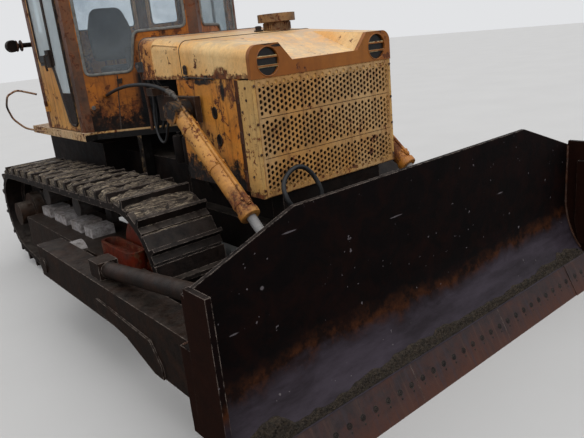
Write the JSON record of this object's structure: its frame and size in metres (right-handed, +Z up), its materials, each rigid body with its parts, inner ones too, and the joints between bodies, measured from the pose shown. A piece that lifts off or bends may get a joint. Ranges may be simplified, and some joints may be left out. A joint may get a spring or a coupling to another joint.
{
  "type": "crawler bulldozer",
  "caption": "Crawler tractor with a wide concave straight blade on outside push arms, two lift cylinders, steel tracks, a perforated radiator grille and a six-sided glazed cab.",
  "frame": {"origin": "on the ground, below the middle of the machine's bounding box", "axes": "+Z up, front of the machine towards -Y, its own left-hand side towards +X"},
  "size_m": [3.22, 5.095, 3.09],
  "materials": {
    "hood_paint": "worn ochre paint, chipped and stained",
    "cowl_paint": "pale faded yellow paint",
    "cab_paint": "orange-brown weathered paint",
    "frame_paint": "dirty brown paint over rust",
    "blade_steel": "rusty brown steel, polished low down",
    "edge_steel": "rust-red worn edge",
    "cylinder_paint": "yellow paint, chipped",
    "rod_chrome": "hard chrome",
    "track_steel": "muddy rusty steel",
    "wheel_paint": "orange-red paint under mud",
    "dark_iron": "oily dark castings",
    "roof_paint": "weathered paint",
    "window_glass": "clear, dusty",
    "lamp_glass": "dull lamp glass",
    "seat_cover": "black worn seat cover",
    "trim_plastic": "dark grey trim",
    "hose_rubber": "black rubber",
    "core_metal": "dark dusty fins"
  },
  "bodies": {
    "tractor": {"main_frame": "frame_paint", "rear_housing": "frame_paint", "gearbox": "dark_iron", "engine_block": "dark_iron", "radiator_core": "core_metal", "radiator_cowl": "cowl_paint", "grille": "cowl_paint", "nose_panel": "hood_paint", "headlamps": "lamp_glass", "hood": "hood_paint", "engine_side_panels": "hood_paint", "air_precleaner": "hood_paint", "scuttle": "cab_paint", "cab_floor": "cab_paint", "cab_pillars": "cab_paint", "cab_front_walls": "cab_paint", "cab_rear_walls": "cab_paint", "cab_roof": "roof_paint", "cab_glass": "window_glass", "seat": "seat_cover", "console": "trim_plastic", "fuel_tank": "cab_paint", "drawbar": "frame_paint", "final_drives": "frame_paint", "sprockets": "track_steel", "idlers": "wheel_paint", "lower_rollers": "track_steel", "upper_rollers": "track_steel", "track_R": "track_steel", "track_L": "track_steel", "track_frame_R": "frame_paint", "track_frame_L": "frame_paint", "equaliser_beam": "frame_paint", "lift_brackets": "frame_paint", "idler_bearings": "wheel_paint", "rear_bar": "dark_iron", "lift_hose_R": "hose_rubber", "lift_hose_L": "hose_rubber", "head_hose_R": "hose_rubber", "head_hose_L": "hose_rubber", "grille_hose": "hose_rubber"},
    "blade": {"mouldboard": "blade_steel", "wing_plate": "blade_steel", "cutting_edge": "edge_steel", "end_bits": "edge_steel", "blade_back": "blade_steel", "rod_lugs": "blade_steel", "push_arm_R": "blade_steel", "push_arm_L": "blade_steel", "brace_R": "blade_steel", "brace_L": "blade_steel"},
    "door_R": {"door_R": "cab_paint", "door_glass_R": "window_glass"},
    "barrel_R": {"lift_barrel_R": "cylinder_paint"},
    "rod_R": {"lift_rod_R": "rod_chrome"},
    "door_L": {"door_L": "cab_paint", "door_glass_L": "window_glass"},
    "barrel_L": {"lift_barrel_L": "cylinder_paint"},
    "rod_L": {"lift_rod_L": "rod_chrome"}
  },
  "joints": [
    {"name": "blade_lift", "type": "hinge", "parent": "tractor", "child": "blade", "pos_m": [0, 0.1375, 0.5], "axis": [-1, 0, 0], "range_deg": [-9, 20]},
    {"name": "barrel_swing_R", "type": "hinge", "parent": "tractor", "child": "barrel_R", "pos_m": [-0.72, -0.8525, 1.555], "axis": [-1, 0, 0], "range_deg": [-11, 24]},
    {"name": "rod_slide_R", "type": "slide", "parent": "barrel_R", "child": "rod_R", "axis": [0, -0.7496, -0.6618], "range_m": [-0.5, 0.23]},
    {"name": "door_swing_R", "type": "hinge", "parent": "tractor", "child": "door_R", "pos_m": [-0.839, 1.3835, 2.1], "axis": [0, 0, -1], "range_deg": [0, 95]},
    {"name": "barrel_swing_L", "type": "hinge", "parent": "tractor", "child": "barrel_L", "pos_m": [0.72, -0.8525, 1.555], "axis": [-1, 0, 0], "range_deg": [-11, 24]},
    {"name": "rod_slide_L", "type": "slide", "parent": "barrel_L", "child": "rod_L", "axis": [0, -0.7496, -0.6618], "range_m": [-0.5, 0.23]},
    {"name": "door_swing_L", "type": "hinge", "parent": "tractor", "child": "door_L", "pos_m": [0.839, 1.3835, 2.1], "axis": [0, 0, 1], "range_deg": [0, 95]}
  ],
  "couplings": [
    {"joint": "barrel_swing_R", "follows": "blade_lift", "ratio": 1.15},
    {"joint": "rod_slide_R", "follows": "blade_lift", "m_per_rad": -1.41},
    {"joint": "barrel_swing_L", "follows": "blade_lift", "ratio": 1.15},
    {"joint": "rod_slide_L", "follows": "blade_lift", "m_per_rad": -1.41}
  ]
}
